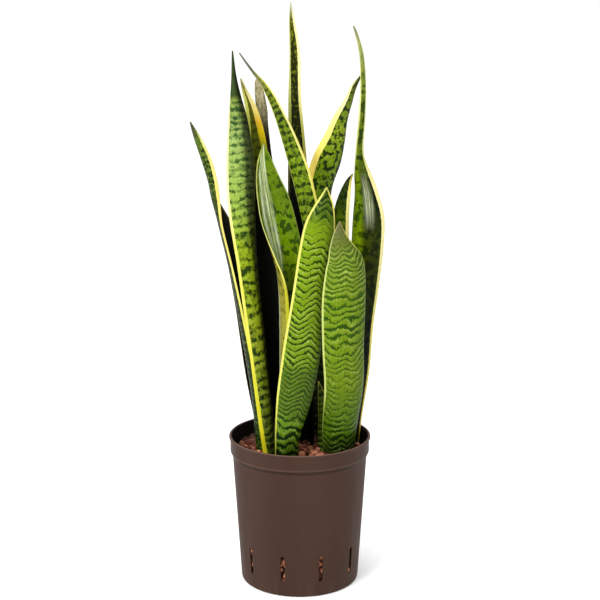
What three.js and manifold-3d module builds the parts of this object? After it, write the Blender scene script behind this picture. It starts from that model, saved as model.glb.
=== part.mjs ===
// Potted snake plant: yellow-edged, cross-banded leaves rising from clay granules in a
// slotted culture pot. Millimetres, +Z up, the origin at the centre of the pot's base.
// The photograph is taken from -Y, so +X is its right-hand side.

import * as THREE from 'three';
import { mergeVertices } from 'three/addons/utils/BufferGeometryUtils.js';
import Module from 'manifold-3d';

const wasm = await Module();
wasm.setup();

// ---------- Driving dimensions ----------

const FIT_GAP = 0.4; // between two pieces that touch
const FOOT_HOLLOW = 1.5; // the holes for the leaves go this much deeper than their feet

const POT = {
  height: 190,
  lipRadius: 90,
  lipWidth: 3.5,
  collarRadius: 88.4,
  collarBottom: 170,
  shoulderBottom: 163, // where the slope under the collar meets the wall
  shoulderRadius: 85.4,
  footRadius: 75.2,
  footRound: 3, // rounding of the foot's edge
  lipRound: 0.8, // rounding of the lip's edges
  lipHeight: 2.8,
  wall: 1.7,
  floor: 2,
  floorFillet: 4, // between the wall and the floor inside
  sides: 60,
};

const SLOT = {
  count: 10,
  firstAngle: 20, // degrees from the front towards +X
  width: 5,
  bottom: 20,
  top: 54,
  cutDepth: 20, // of the cutter, through the wall
};

const FILL = {
  coreTop: 166, // of the packed granules under the loose top layer
  sides: 30,
  pebbles: 84,
  pebbleRadius: [5, 8],
  seed: 11,
};

const LEAF = {
  rings: 19, // cross-sections along a blade
  across: 4, // strips across a blade
  midThickness: 3,
  baseThickness: 5,
  edgeThickness: 1,
  rootDepth: 31, // of a blade's foot below the surface
  tipWidth: 1.3,
};

const RHIZOME = {
  height: 132, // of its axis
  radius: 8.5,
  sides: 8,
  rootSides: 5,
};

// ---------- Leaves ----------

// Each row is a station of a blade, read by eye from the photograph, from the surface of
// the granules to the tip: x, y, z, width over the arch, and the way that the rounded
// back faces in degrees: 0 to the viewer, 90 to +X, 180 away. arch is half the angle
// that the cross-section bends through, at the foot, half way up and at the tip.

const LEAVES = [
  {
    name: 'leaf_front_centre',
    arch: [70, 34, 40],
    stations: [
      [-14.5, -48, 172, 36, 20],
      [-14, -49, 199, 37.5, 20],
      [-5.5, -49, 249.5, 50, 18],
      [4.5, -49, 314, 52.5, 18],
      [12.5, -49, 376, 47.5, 20],
      [20.5, -48, 436.5, 44.5, 15],
      [25, -47, 466, 39.5, 10],
      [30, -46, 490.5, 24, 5],
      [32, -45, 512, LEAF.tipWidth, 5],
    ],
  },
  {
    name: 'leaf_front_right',
    arch: [70, 34, 40],
    stations: [
      [52.5, -18.5, 172, 50, 20],
      [52, -24, 201.5, 53, 20],
      [56.7, -34, 262.5, 57.5, 22],
      [55, -44, 317, 59, 22],
      [55, -50, 375, 60.5, 20],
      [55.5, -53, 419, 51, 15],
      [50.3, -54, 440, 33, 10],
      [47.7, -54, 455.5, 17.5, 5],
      [48, -54, 472, LEAF.tipWidth, 5],
    ],
  },
  {
    name: 'leaf_left_tall',
    arch: [70, 36, 45],
    stations: [
      [-35.5, -27, 172, 26, 45],
      [-40.5, -28, 215.5, 28, 45],
      [-51, -27, 313.5, 31, 45],
      [-63, -25, 419, 33, 38],
      [-70.5, -24, 492.5, 36, 12],
      [-71.5, -20, 539.5, 36, 8],
      [-74, -14, 586.5, 26.5, 8],
      [-77, -10, 618, 14, 8],
      [-79, -7, 641, 6.5, 8],
      [-80.5, -5, 670.5, LEAF.tipWidth, 8],
    ],
  },
  {
    name: 'leaf_far_left',
    arch: [70, 30, 40],
    stations: [
      [-49, -13, 172, 28, -70],
      [-56, -12, 245, 30, -72],
      [-70.5, -10, 330.5, 28, -76],
      [-84.5, -8, 405, 26, -82],
      [-97.5, -6, 462, 24, -82],
      [-103.5, -5, 490.5, 22, -60],
      [-107.5, -3, 515, 18.5, -45],
      [-114.5, -1, 540, 15.5, -30],
      [-124, 1, 563.5, 11, -30],
      [-129, 2, 575.5, 6.5, -30],
      [-133, 3, 585.5, LEAF.tipWidth, -30],
    ],
  },
  {
    name: 'leaf_left_short',
    arch: [70, 34, 45],
    stations: [
      [-42, 18, 172, 26, -150],
      [-56, 20, 255.5, 28, -160],
      [-71, 22, 359.5, 25, -170],
      [-81, 23, 410.5, 22, -175],
      [-89, 24, 448, 18, -180],
      [-99, 25, 481.5, LEAF.tipWidth, -180],
    ],
  },
  {
    name: 'leaf_left_back',
    arch: [70, 34, 40],
    stations: [
      [-31, 6, 172, 32, -150],
      [-35, 10, 310, 32, -155],
      [-42, 13, 412.5, 30, -160],
      [-47, 15, 487.5, 30, -165],
      [-52.5, 17, 558.5, 24, -170],
      [-56, 18, 584, 19, -173],
      [-61, 19, 605, 13.5, -175],
      [-67, 20, 621, 7.5, -178],
      [-72, 20, 636.5, LEAF.tipWidth, -180],
    ],
  },
  {
    name: 'leaf_dried_tip',
    arch: [70, 34, 20],
    stations: [
      [-20, 26, 172, 24, 180],
      [-24, 28, 305.5, 24, 180],
      [-30, 30, 409, 24, 180],
      [-36, 32, 485.5, 22, 185],
      [-41, 33, 537.5, 14, 190],
      [-42.5, 34, 575, 8, 195],
      [-46, 34, 593, 13.5, 195],
      [-48.5, 34, 609, 13.5, 195],
      [-50.5, 34, 622, 11, 195],
      [-52.5, 34, 631, 6, 195],
      [-53.5, 34, 635, LEAF.tipWidth, 195],
    ],
  },
  {
    name: 'leaf_centre_left',
    arch: [80, 76, 40],
    stations: [
      [-14.5, -10, 172, 54, -106],
      [-14.5, -10, 239, 58, -106],
      [-14.5, -10, 316.5, 60, -106],
      [-15, -10, 367.5, 61, -107],
      [-16, -10, 393, 61.5, -114],
      [-17.5, -9, 416.5, 62, -131],
      [-29.5, -6, 467, 58, -150],
      [-34.5, -5, 491.5, 50, -155],
      [-40, -4, 516, 36, -160],
      [-43, -3, 539.5, 20, -165],
      [-43.5, -3, 560, LEAF.tipWidth, -165],
    ],
  },
  {
    name: 'leaf_centre_tall',
    arch: [70, 40, 60],
    stations: [
      [6.5, 24, 172, 28, 185],
      [5.5, 28, 297.5, 28, 182],
      [2.5, 32, 396.5, 28, 180],
      [-1, 36, 483.5, 29, 178],
      [-3, 39, 540.5, 25, 176],
      [-4.5, 41, 577, 21, 175],
      [-6, 43, 609, 18, 175],
      [-5.8, 45, 657.5, 15.5, 175],
      [-7, 46, 682, 13.2, 175],
      [-9.7, 47, 706, 8, 175],
      [-11, 48, 727, LEAF.tipWidth, 175],
    ],
  },
  {
    name: 'leaf_leaning_left',
    arch: [70, 32, 50],
    stations: [
      [33.5, 12, 172, 28, -15],
      [33.5, 2, 300, 31, -15],
      [25.5, -14, 415, 30, -18],
      [10.5, -18, 484, 27, -22],
      [-0.5, -15, 527.5, 26, -22],
      [-17.5, -8, 576.5, 19, -22],
      [-26.5, -6, 598, 14.5, -22],
      [-35, -3, 616, 11.5, -22],
      [-45, 0, 632, 7, -20],
      [-56, 2, 645, 3.6, -20],
      [-66.5, 4, 659, 2.4, -20],
      [-72.5, 6, 667.5, LEAF.tipWidth, -20],
    ],
  },
  {
    name: 'leaf_leaning_right',
    arch: [70, 34, 45],
    stations: [
      [13.5, 53, 172, 32.5, 20],
      [19, 54, 289.5, 37.5, 20],
      [20.5, 53, 394.5, 40.5, 20],
      [20.5, 49, 446.5, 38.5, 20],
      [25.2, 43, 501, 39, 20],
      [35, 37, 535, 41, 20],
      [43.5, 33, 560.5, 31.5, 20],
      [50.5, 30, 585.5, 22, 22],
      [60.5, 27, 610, 12.5, 25],
      [66, 26, 625, 8.5, 25],
      [76, 24, 642, LEAF.tipWidth, 25],
    ],
  },
  {
    name: 'leaf_right_tall',
    arch: [70, 45, 70],
    stations: [
      [61.5, 18, 172, 34, -10],
      [65, 18, 209.5, 35, -10],
      [71, 18, 268.5, 40, -10],
      [75, 17, 328.5, 40, -12],
      [79.5, 16, 372.5, 42, -14],
      [84, 15, 437.5, 46, -15],
      [84.5, 14, 468, 44, -15],
      [81.5, 14, 498, 33, -15],
      [77, 14, 520, 24, -15],
      [74, 13, 537.5, 14.5, -12],
      [73.5, 13, 552, 10.5, -10],
      [76, 12, 591.5, 9.5, -10],
      [77, 12, 630.5, 8, -10],
      [74.5, 12, 666, 6, -10],
      [67.5, 12, 692.5, 3.2, -10],
      [64.5, 12, 699.5, LEAF.tipWidth, -10],
    ],
  },
  {
    name: 'leaf_right_short',
    arch: [70, 34, 45],
    stations: [
      [33.5, 32, 172, 24, -10],
      [38.5, 28, 305.5, 26, -10],
      [47, 20, 411.5, 29, -15],
      [52.2, 15, 477.5, 20.4, -15],
      [57.2, 12, 501, 14, -20],
      [61, 12, 513, 7, -20],
      [65.5, 10, 521, LEAF.tipWidth, -20],
    ],
  },
  {
    name: 'leaf_basal',
    arch: [60, 50, 50],
    stations: [
      [31.5, -7, 172, 20, 0],
      [31.5, -9, 213, 19, 0],
      [28.5, -12, 239, 13, 0],
      [23.5, -14, 263.5, LEAF.tipWidth, 0],
    ],
  },
];

// ---------- Materials ----------

function material(color, roughness) {
  return new THREE.MeshStandardMaterial({ color, roughness, metalness: 0 });
}

const potMaterial = () => material(0x523d34, 0.55);
const granuleMaterial = () => material(0x9a5a44, 0.95);
const leafMaterial = () => material(0x5d8a28, 0.4);
const rhizomeMaterial = () => material(0xc9b184, 0.8);

// ---------- Solids ----------

function toSolid(geometry) {
  const bare = geometry.clone();
  for (const name of Object.keys(bare.attributes)) {
    if (name !== 'position') bare.deleteAttribute(name);
  }
  const merged = mergeVertices(bare, 1e-4);
  return new wasm.Manifold(new wasm.Mesh({
    numProp: 3,
    vertProperties: new Float32Array(merged.attributes.position.array),
    triVerts: new Uint32Array(merged.index.array),
  }));
}

function toGeometry(solid) {
  const mesh = solid.getMesh();
  const geometry = new THREE.BufferGeometry();
  geometry.setAttribute('position', new THREE.BufferAttribute(mesh.vertProperties, 3));
  geometry.setIndex(new THREE.BufferAttribute(mesh.triVerts, 1));
  geometry.computeVertexNormals();
  return geometry;
}

function joined(solids) {
  return solids.reduce((whole, solid) => whole.add(solid));
}

// A profile of [radius, height] points, turned about the Z axis.
function turned(profile, sides) {
  const points = profile.map(([radius, height]) => new THREE.Vector2(radius, height));
  return new THREE.LatheGeometry(points, sides).rotateX(Math.PI / 2);
}

// A round bar along a path, its radius worked out at each step by radiusAt(0..1).
function taperedBar(path, steps, sides, radiusAt) {
  const frames = path.computeFrenetFrames(steps, false);
  const positions = [];
  const index = [];
  for (let i = 0; i <= steps; i++) {
    const centre = path.getPointAt(i / steps);
    for (let j = 0; j < sides; j++) {
      const turn = (j / sides) * 2 * Math.PI;
      const spoke = frames.normals[i].clone().multiplyScalar(Math.cos(turn))
        .addScaledVector(frames.binormals[i], Math.sin(turn));
      positions.push(...centre.clone().addScaledVector(spoke, radiusAt(i / steps)));
    }
  }
  for (let i = 0; i < steps; i++) {
    for (let j = 0; j < sides; j++) {
      const [a, b] = [i * sides + j, i * sides + ((j + 1) % sides)];
      index.push(a, b, b + sides, a, b + sides, a + sides);
    }
  }
  const last = steps * sides;
  for (let j = 1; j < sides - 1; j++) {
    index.push(0, j + 1, j, last, last + j, last + j + 1);
  }
  const geometry = new THREE.BufferGeometry();
  geometry.setAttribute('position', new THREE.Float32BufferAttribute(positions, 3));
  geometry.setIndex(index);
  return geometry;
}

// ---------- Pot ----------

// The inner wall's radius at a height, below the shoulder.
function innerRadius(z) {
  const rise = (z - POT.floor) / (POT.shoulderBottom - POT.floor);
  const foot = POT.footRadius - POT.wall;
  return foot + (POT.shoulderRadius - POT.wall - foot) * rise;
}

const SLOT_ANGLES = Array.from(
  { length: SLOT.count },
  (_, i) => THREE.MathUtils.degToRad(SLOT.firstAngle) + (i / SLOT.count) * 2 * Math.PI,
);

function slotCutter(angle) {
  const cutter = new THREE.BoxGeometry(SLOT.width, SLOT.cutDepth, SLOT.top - SLOT.bottom);
  cutter.translate(0, -POT.footRadius, (SLOT.top + SLOT.bottom) / 2);
  cutter.rotateZ(angle);
  return toSolid(cutter);
}

function potSolid() {
  const { footRadius, shoulderRadius, shoulderBottom, collarRadius, collarBottom } = POT;
  const { lipRadius, lipWidth, lipHeight, wall, floor, height } = POT;
  const { footRound, lipRound, floorFillet } = POT;
  const lipInside = lipRadius - lipWidth;
  const profile = [
    [0, 0],
    [footRadius - footRound, 0],
    [footRadius - 0.3 * footRound, 0.3 * footRound],
    [footRadius, footRound],
    [shoulderRadius, shoulderBottom],
    [collarRadius - 0.6, collarBottom - 1],
    [collarRadius, collarBottom],
    [collarRadius, height - 1.5 * lipHeight],
    [lipRadius, height - lipHeight],
    [lipRadius, height - lipRound],
    [lipRadius - lipRound, height],
    [lipInside + lipRound, height],
    [lipInside, height - lipRound],
    [collarRadius - wall, height - 1.5 * lipHeight],
    [collarRadius - wall, collarBottom],
    [innerRadius(shoulderBottom), shoulderBottom],
    [innerRadius(floor + floorFillet), floor + floorFillet],
    [innerRadius(floor) - 0.6 * floorFillet, floor],
    [0, floor],
  ];
  return SLOT_ANGLES.reduce(
    (pot, angle) => pot.subtract(slotCutter(angle)),
    toSolid(turned(profile, POT.sides)),
  );
}

// ---------- Leaf ----------

function bladeArch([foot, middle, tip], t) {
  const half = t < 0.5 ? [foot, middle, t * 2] : [middle, tip, t * 2 - 1];
  const [from, to, part] = half;
  const eased = t < 0.5 ? Math.sqrt(part) : part * part;
  return THREE.MathUtils.degToRad(from + (to - from) * eased);
}

function bladeThickness(t) {
  const { baseThickness, midThickness, edgeThickness } = LEAF;
  const middle = THREE.MathUtils.lerp(baseThickness, midThickness, Math.min(1, t * 2));
  const tip = THREE.MathUtils.smoothstep(t, 0.8, 1);
  return THREE.MathUtils.lerp(middle, edgeThickness + 0.3, tip);
}

// The blade as one ring of points after another, each ring going over the rounded back
// and home over the hollow face. grow swells it on all sides, to cut a hole for it.
function bladeGeometry(leaf, grow = 0) {
  const rows = [footStation(leaf.stations), ...leaf.stations];
  const spine = new THREE.CatmullRomCurve3(rows.map(([x, y, z]) => new THREE.Vector3(x, y, z)));
  const traits = new THREE.CatmullRomCurve3(
    rows.map(([, , , width, facing]) => new THREE.Vector3(width, facing, 0)),
    false, 'catmullrom', 0.5,
  );
  const rings = [];
  for (let i = 0; i < LEAF.rings; i++) {
    const along = i / (LEAF.rings - 1);
    const u = spine.getUtoTmapping(along);
    const trait = traits.getPoint(u);
    rings.push(bladeRing(spine.getPoint(u), spine.getTangent(u), {
      width: Math.max(trait.x, LEAF.tipWidth),
      facing: THREE.MathUtils.degToRad(trait.y),
      arch: bladeArch(leaf.arch, along),
      thickness: bladeThickness(along),
      grow,
    }));
  }
  if (grow > 0) {
    const deeper = spine.getTangent(0).multiplyScalar(-FOOT_HOLLOW);
    rings.unshift(rings[0].map((point) => point.clone().add(deeper)));
  }
  return ringsGeometry(rings);
}

// The foot continues the first stretch of the blade downwards into the granules.
function footStation([first, second]) {
  const drop = LEAF.rootDepth / (second[2] - first[2]);
  const [x, y, z] = [0, 1, 2].map((axis) => first[axis] - (second[axis] - first[axis]) * drop);
  return [x, y, z, first[3] * 0.85, first[4]];
}

function bladeRing(centre, tangent, { width, facing, arch, thickness, grow }) {
  const level = new THREE.Vector3(Math.sin(facing), -Math.cos(facing), 0);
  const back = level.addScaledVector(tangent, -level.dot(tangent)).normalize();
  const side = tangent.clone().cross(back);
  const radius = width / (2 * arch);
  const reach = arch + grow / radius;
  const outer = [];
  const inner = [];
  for (let j = 0; j <= LEAF.across; j++) {
    const across = (2 * j) / LEAF.across - 1;
    const angle = across * reach;
    const lift = radius * (Math.cos(angle) - (1 + Math.cos(arch)) / 2);
    const middle = centre.clone()
      .addScaledVector(side, radius * Math.sin(angle))
      .addScaledVector(back, lift);
    const normal = side.clone().multiplyScalar(Math.sin(angle))
      .addScaledVector(back, Math.cos(angle));
    const half = THREE.MathUtils.lerp(thickness, LEAF.edgeThickness, across ** 2) / 2 + grow;
    outer.push(middle.clone().addScaledVector(normal, half));
    inner.push(middle.clone().addScaledVector(normal, -half));
  }
  return [...outer, ...inner.reverse()];
}

// Quads between two rings are split from the same corner on both faces of the blade.
function ringsGeometry(rings) {
  const count = rings[0].length;
  const half = count / 2;
  const index = [];
  for (let i = 0; i < rings.length - 1; i++) {
    for (let j = 0; j < count; j++) {
      const next = (j + 1) % count;
      const [a, b] = [i * count + j, i * count + next];
      const [c, d] = [b + count, a + count];
      if (j < half) index.push(a, b, c, a, c, d);
      else index.push(a, b, d, b, c, d);
    }
  }
  const last = (rings.length - 1) * count;
  for (let j = 0; j < half - 1; j++) {
    const [a, b, c, d] = [j, j + 1, count - 2 - j, count - 1 - j];
    index.push(a, c, b, a, d, c);
    index.push(last + a, last + b, last + c, last + a, last + c, last + d);
  }
  const geometry = new THREE.BufferGeometry();
  const positions = rings.flat().flatMap((point) => point.toArray());
  geometry.setAttribute('position', new THREE.Float32BufferAttribute(positions, 3));
  geometry.setIndex(index);
  geometry.computeVertexNormals();
  return geometry;
}

// ---------- Rhizome ----------

// One thick underground stem runs below all the leaf feet, and its roots go down from it.
const STEM_POINTS = [
  [-52, -10], [-38, 2], [-16, 4], [4, 4], [24, 14], [46, 6], [60, 10],
];
const BRANCH_POINTS = [
  [[-16, 4], [-14, -22], [-14, -50]],
  [[24, 14], [16, 34], [12, 50]],
  [[46, 6], [42, -8], [50, -20]],
];
const ROOT_STARTS = [
  [-46, -4], [-30, 4], [-14, -30], [-6, 4], [14, 34], [20, 12], [44, -10], [54, 10],
];

// grow makes the bar longer and thicker on all sides, to cut a hole for it.
function bar(points, sides, steps, radiusAt, grow) {
  const knots = points.map((point) => new THREE.Vector3(...point));
  const ends = [knots[0], knots[knots.length - 1]];
  const inward = [knots[1], knots[knots.length - 2]];
  ends.forEach((end, i) => {
    const outward = end.clone().sub(inward[i]).normalize();
    end.addScaledVector(outward, grow);
  });
  const path = new THREE.CatmullRomCurve3(knots);
  const swell = grow / Math.cos(Math.PI / sides);
  return toSolid(taperedBar(path, steps, sides, (t) => radiusAt(t) + swell));
}

function rhizomeSolid(grow = 0) {
  const { height, radius, sides, rootSides } = RHIZOME;
  const level = (points) => points.map(([x, y]) => [x, y, height]);
  const stem = bar(level(STEM_POINTS), sides, 12, (t) => radius - 2 * Math.abs(t - 0.5), grow);
  const branches = BRANCH_POINTS.map((points) => (
    bar(level(points), sides, 5, (t) => radius - 1 - 1.5 * t, grow)
  ));
  const roots = ROOT_STARTS.map(([x, y], i) => {
    const spread = 1.25 + 0.12 * (i % 3);
    const depth = 40 + 12 * (i % 4);
    const points = [
      [x, y, height],
      [x * spread, y * spread - 4, height - 0.45 * depth],
      [x * spread - 3, y * spread * 1.1 + 3, height - depth],
    ];
    return bar(points, rootSides, 4, (t) => 3.2 - 1.6 * t, grow);
  });
  return joined([stem, ...branches, ...roots]);
}

// ---------- Granules ----------

// A seeded draw of numbers from 0 to 1, the same on every run.
function seededRandom(seed) {
  let state = seed;
  return () => {
    state = (state * 1664525 + 1013904223) % 4294967296;
    return state / 4294967296;
  };
}

function pebbleSolid(random, [x, y]) {
  const [smallest, largest] = FILL.pebbleRadius;
  const size = THREE.MathUtils.lerp(smallest, largest, random());
  const pebble = new THREE.IcosahedronGeometry(1, 0);
  pebble.rotateX(random() * Math.PI);
  pebble.scale(size, size * (0.8 + 0.2 * random()), size * (0.7 + 0.2 * random()));
  pebble.rotateZ(random() * 2 * Math.PI);
  pebble.translate(x, y, FILL.coreTop + size * (0.1 + 0.45 * random()));
  return toSolid(pebble);
}

// Pebbles lie on a sunflower spiral, which covers the round surface evenly.
function pebbleLayer() {
  const random = seededRandom(FILL.seed);
  const goldenAngle = Math.PI * (3 - Math.sqrt(5));
  const reach = innerRadius(FILL.coreTop) - 3;
  return Array.from({ length: FILL.pebbles }, (_, i) => {
    const radius = reach * Math.sqrt((i + 0.5) / FILL.pebbles);
    const angle = i * goldenAngle + 0.2 * random();
    return pebbleSolid(random, [radius * Math.cos(angle), radius * Math.sin(angle)]);
  });
}

function granulesSolid(leafHoles, rhizomeHole) {
  const { shoulderBottom, floorFillet, height } = POT;
  const bottom = POT.floor + FIT_GAP;
  const filletTop = bottom + floorFillet;
  const room = toSolid(turned([
    [0, bottom],
    [innerRadius(bottom) - 0.6 * floorFillet - FIT_GAP, bottom],
    [innerRadius(filletTop) - FIT_GAP, filletTop],
    [innerRadius(shoulderBottom) - FIT_GAP, shoulderBottom],
    [innerRadius(shoulderBottom) - FIT_GAP, height],
    [0, height],
  ], FILL.sides));
  const core = toSolid(turned([
    [0, 0],
    [POT.lipRadius, 0],
    [POT.lipRadius, FILL.coreTop],
    [0, FILL.coreTop],
  ], FILL.sides));
  const heap = joined([core, ...pebbleLayer()]).intersect(room);
  return largestPart(heap.subtract(joined([...leafHoles, rhizomeHole])));
}

// Leaves out the loose scraps of pebble that the holes cut off.
function largestPart(solid) {
  return solid.decompose().reduce((a, b) => (a.volume() > b.volume() ? a : b));
}

// ---------- Assembly ----------

function piece(name, geometry, colour) {
  const mesh = new THREE.Mesh(geometry, colour);
  mesh.name = name;
  return mesh;
}

const plant = new THREE.Group();
plant.name = 'potted_snake_plant';

plant.add(piece('culture_pot', toGeometry(potSolid()), potMaterial()));

const leafHoles = LEAVES.map((leaf) => toSolid(bladeGeometry(leaf, FIT_GAP)));
const granules = granulesSolid(leafHoles, rhizomeSolid(FIT_GAP));
plant.add(piece('clay_granules', toGeometry(granules), granuleMaterial()));

plant.add(piece('rhizome', toGeometry(rhizomeSolid()), rhizomeMaterial()));

for (const leaf of LEAVES) {
  plant.add(piece(leaf.name, bladeGeometry(leaf), leafMaterial()));
}

export default plant;
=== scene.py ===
"""Looks of the potted snake plant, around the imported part. Metres, +Z up, seen from -Y."""

import math

import bmesh
import bpy
import numpy as np
from mathutils import Matrix, Vector, noise


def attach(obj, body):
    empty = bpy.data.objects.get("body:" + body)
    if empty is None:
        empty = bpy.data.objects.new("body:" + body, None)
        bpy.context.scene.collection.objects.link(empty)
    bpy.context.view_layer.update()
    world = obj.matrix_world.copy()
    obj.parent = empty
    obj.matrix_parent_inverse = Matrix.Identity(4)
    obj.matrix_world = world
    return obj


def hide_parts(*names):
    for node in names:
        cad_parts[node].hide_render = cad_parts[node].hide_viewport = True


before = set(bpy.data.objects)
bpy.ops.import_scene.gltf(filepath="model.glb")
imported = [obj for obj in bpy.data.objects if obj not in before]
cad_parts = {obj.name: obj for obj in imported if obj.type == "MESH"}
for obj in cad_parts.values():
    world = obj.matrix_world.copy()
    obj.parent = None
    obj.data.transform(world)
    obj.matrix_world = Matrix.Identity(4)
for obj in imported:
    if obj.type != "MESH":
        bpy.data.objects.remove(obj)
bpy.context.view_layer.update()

MM = 0.001


# ---------- Numbers ----------

# The blades stand exactly where the part's own blades do. A station is x, y, z, the width
# over the arch and the way that the rounded back faces, in mm and degrees: 0 is to the
# viewer, 90 to +X. "Minus" and "plus" are a blade's two long edges: minus is on the left
# of somebody who looks at its rounded back.
ROOT_DEPTH = 31
FOOT_SHARE = 0.85  # a buried foot's width over the width at the granules
TIP_WIDTH = 1.3
EDGE_THICKNESS = 1.0
MID_THICKNESS = 3.0
BASE_THICKNESS = 5.0

# A look, where the first number of a row is a height in mm: minus and plus are the pale
# edges' width and colour, body is the green and the colour of the dark bands, periods the
# bands' spacing, lines how much of it is dark and how strong the light line below a band
# is, and dry how withered and how bright the blade is. Over the width, from -1 to 1: side
# is painted shade, the brightness of a blade that drops where it turns from the light, zig
# how the bands bend in mm, and the stripes are lengthwise pale streaks, on leaf_right_tall
# a painted sheen. Over the height, side_share and sheen are how far side and the stripes
# apply. "outer" ones are for the rounded back alone. Blotch is how much the bands are
# broken up, and the size of that in mm; jag and wobble are how uneven the bands are, in mm.
# Arch is half the angle that a cross-section bends through, at the foot, halfway and at the
# tip, in degrees. Colours are as seen, in light of LIGHT, so they carry painted shade: the
# body and edges darken towards the foot, where the blades crowd, and the inner faces of the
# back blades are painted near black, most of all low down.
LEAVES = {}
LEAVES["leaf_front_centre"] = dict(
    stations=[(-14.5, -48, 172, 36, 20), (-14, -49, 199, 37.5, 20), (-5.5, -49, 249.5, 50, 18),
        (4.5, -49, 314, 52.5, 18), (12.5, -49, 376, 47.5, 20), (20.5, -48, 436.5, 44.5, 15),
        (25, -47, 466, 39.5, 10), (30, -46, 490.5, 24, 5), (32, -45, 512, TIP_WIDTH, 5)],
    minus=[(172, 2, (140, 146, 50)), (215, 2.4, (210, 212, 88)), (260, 3, (232, 236, 116)),
        (500, 3, (240, 242, 130)), (512, 1.6, (180, 190, 90))],
    plus=[(172, 0.8, (110, 130, 44)), (430, 1, (160, 176, 70)), (455, 2.4, (244, 234, 116)),
        (500, 2.6, (262, 252, 120)), (512, 1.4, (210, 204, 100))],
    body=[(172, (40, 60, 10), (10, 22, 4)), (195, (88, 124, 16), (14, 34, 5)),
        (218, (106, 148, 22), (20, 46, 6)), (234, (94, 124, 26), (44, 74, 14)),
        (284, (96, 126, 26), (46, 76, 14)), (298, (122, 158, 20), (34, 60, 4)),
        (370, (132, 166, 20), (38, 66, 4)), (440, (134, 168, 18), (38, 66, 6)),
        (455, (134, 168, 14), (62, 96, 6)), (466, (130, 162, 14), (54, 86, 6)),
        (478, (84, 116, 14), (34, 60, 6)), (512, (60, 82, 14), (28, 50, 8))],
    side=[(-1, 1.05), (0.3, 1), (0.7, 0.8), (1, 0.5)],
    zig=[(-1, 4), (-0.75, -1.5), (-0.42, -5.5), (-0.1, 1), (0.22, 5.5), (0.6, -3), (1, -6.5)],
    periods=[(172, 12), (222, 12), (236, 6), (284, 6), (300, 7.2), (390, 7.6), (440, 9)],
    lines=[(172, 0.6, 0.4), (205, 0.44, 0.7), (228, 0.4, 0.4), (240, 0.44, 0.3),
        (284, 0.44, 0.3), (298, 0.36, 0.9), (350, 0.34, 1), (440, 0.32, 0.9), (454, 0.1, 0.2),
        (467, 0.14, 0.2), (478, 0.4, 0.5), (512, 0.4, 0.3)],
    arch=(70, 34, 40), blotch=(0.16, 3), jag=2.2, wobble=3.6,
)
LEAVES["leaf_front_right"] = dict(
    stations=[(52.5, -18.5, 172, 50, 20), (52, -24, 201.5, 53, 20), (56.7, -34, 262.5, 57.5, 22),
        (55, -44, 317, 59, 22), (55, -50, 375, 60.5, 20), (55.5, -53, 419, 51, 15),
        (50.3, -54, 440, 33, 10), (47.7, -54, 455.5, 17.5, 5), (48, -54, 472, TIP_WIDTH, 5)],
    minus=[(172, 1, (70, 90, 30)), (225, 1.6, (150, 168, 70)), (252, 2.6, (214, 228, 130)),
        (380, 2.4, (212, 228, 130)), (430, 2, (206, 222, 130)), (456, 1.5, (190, 200, 130)),
        (472, 0.9, (150, 146, 110))],
    plus=[(172, 0.8, (80, 100, 50)), (400, 0.8, (110, 130, 60)), (425, 1.2, (170, 184, 80)),
        (445, 2.2, (214, 222, 96)), (462, 1.4, (190, 180, 90)), (472, 0.8, (130, 124, 80))],
    body=[(172, (30, 50, 8), (12, 24, 4)), (186, (60, 90, 12), (18, 34, 5)),
        (202, (86, 126, 12), (26, 52, 6)), (238, (98, 130, 18), (50, 82, 10)),
        (272, (120, 150, 20), (66, 100, 12)), (300, (124, 156, 20), (50, 84, 6)),
        (350, (124, 158, 20), (46, 80, 4)), (375, (122, 156, 20), (52, 86, 6)),
        (392, (134, 162, 38), (66, 102, 10)), (425, (130, 158, 44), (72, 100, 24)),
        (442, (118, 138, 48), (78, 98, 34)), (456, (114, 124, 62), (88, 98, 50)),
        (472, (122, 112, 88), (98, 92, 66))],
    side=[(-1, 1), (-0.3, 1.05), (0.4, 1), (0.7, 0.86), (1, 0.8)],
    zig=[(-1, 4), (-0.6, -3), (-0.3, -2.2), (-0.05, 1.6), (0.2, -2.6), (0.5, -0.5), (0.75, 3),
        (1, 7)],
    periods=[(172, 8), (240, 8), (300, 8.5), (330, 11), (372, 9.5), (390, 6.5), (450, 5.5)],
    lines=[(172, 0.5, 0.4), (205, 0.42, 0.5), (236, 0.28, 0.4), (272, 0.26, 0.5),
        (300, 0.36, 0.6), (345, 0.4, 0.7), (376, 0.38, 0.8), (392, 0.48, 1), (425, 0.48, 0.9),
        (448, 0.3, 0.3), (472, 0, 0)],
    arch=(70, 34, 40), blotch=(0.2, 3), jag=2.6, wobble=4,
)
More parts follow.
